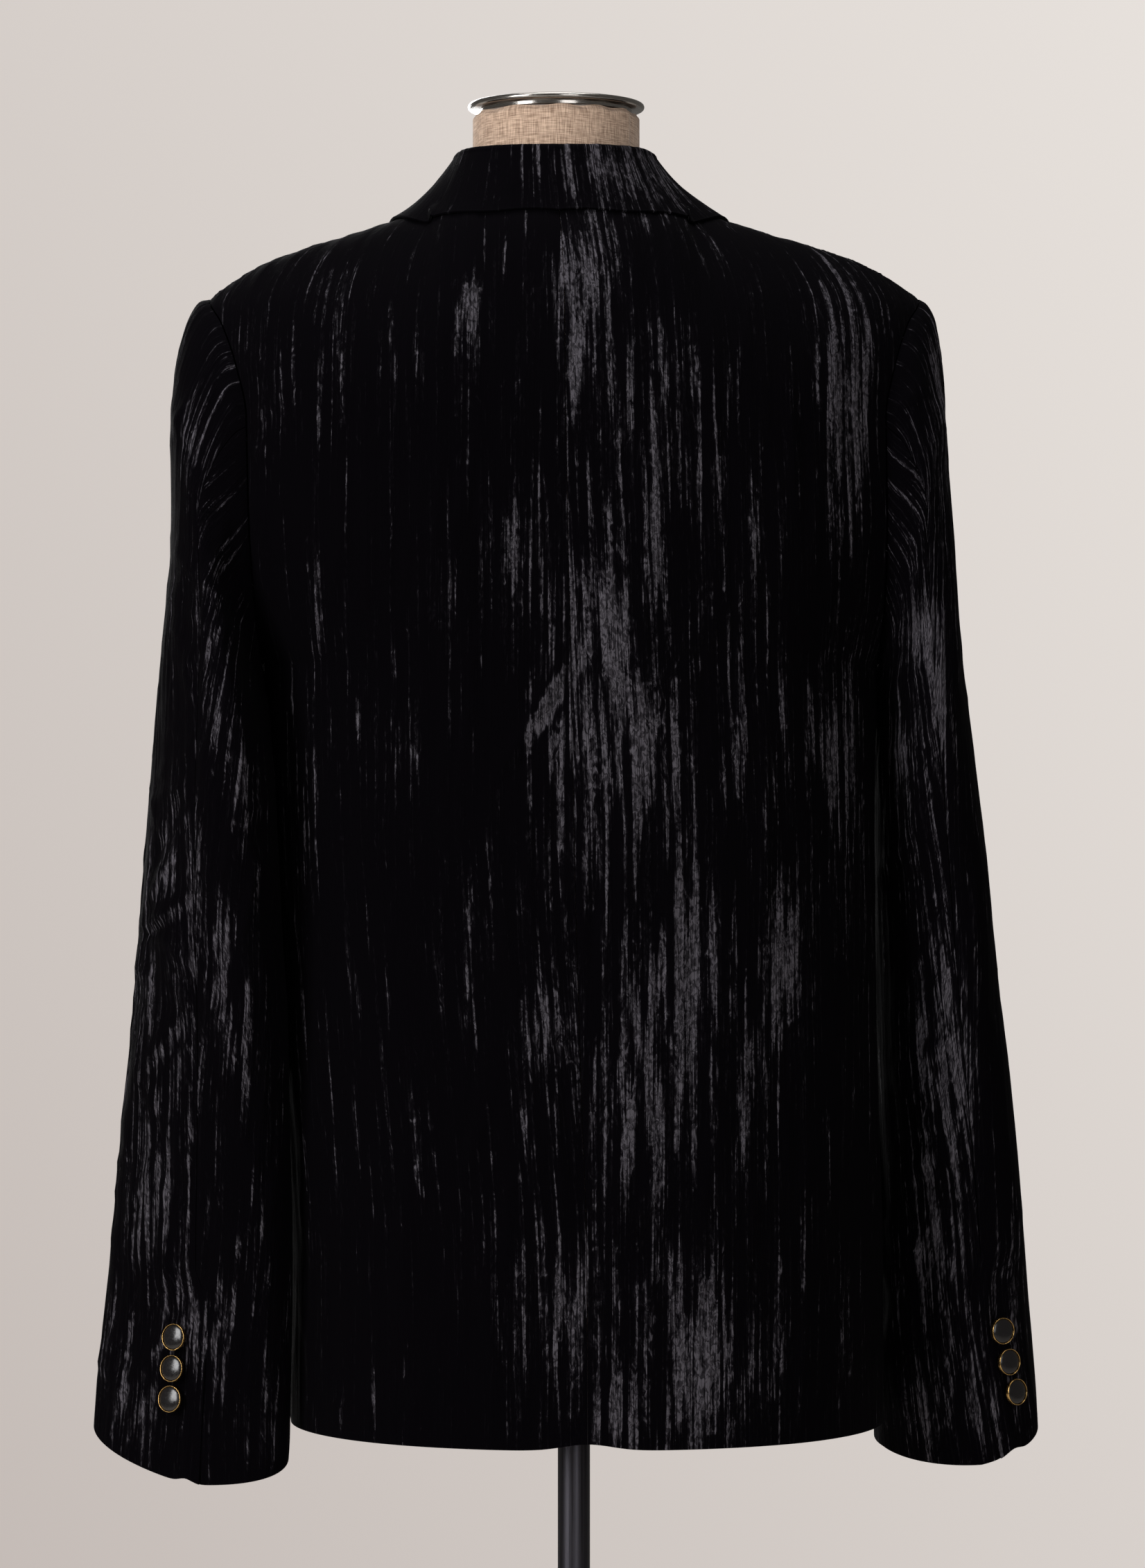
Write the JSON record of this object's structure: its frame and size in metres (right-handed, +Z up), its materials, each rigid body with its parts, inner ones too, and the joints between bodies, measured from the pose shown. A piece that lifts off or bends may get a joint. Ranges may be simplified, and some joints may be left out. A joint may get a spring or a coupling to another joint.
{
  "type": "blazer on dress form",
  "caption": "Dark crushed-velvet tailored blazer with gilt-rimmed buttons, worn by a limbless linen dress form on a steel pole and round base.",
  "frame": {"origin": "centre of the base plate's underside, on the floor and on the pole's axis", "axes": "+Z up along the pole, -Y towards the front of the garment, +X towards the wearer's left side"},
  "size_m": [0.5475, 0.33, 1.521],
  "materials": {
    "velvet": "crushed pile",
    "enamel": "gloss",
    "gilt": "polished",
    "linen": "plain weave",
    "steel": "polished"
  },
  "bodies": {
    "root": {"back_left": "velvet", "back_right": "velvet", "front_left": "velvet", "front_right": "velvet", "lapel_left": "velvet", "lapel_right": "velvet", "collar": "velvet", "upper_sleeve_left": "velvet", "under_sleeve_left": "velvet", "upper_sleeve_right": "velvet", "under_sleeve_right": "velvet", "cuff_button_left_1_cup": "gilt", "cuff_button_left_1_face": "enamel", "cuff_button_left_2_cup": "gilt", "cuff_button_left_2_face": "enamel", "cuff_button_left_3_cup": "gilt", "cuff_button_left_3_face": "enamel", "cuff_button_right_1_cup": "gilt", "cuff_button_right_1_face": "enamel", "cuff_button_right_2_cup": "gilt", "cuff_button_right_2_face": "enamel", "cuff_button_right_3_cup": "gilt", "cuff_button_right_3_face": "enamel", "front_button_cup": "gilt", "front_button_face": "enamel", "dress_form": "linen", "neck_cap": "steel", "pole_flange": "steel", "pole": "steel", "base_plate": "steel", "base_hub": "steel"}
  },
  "joints": []
}
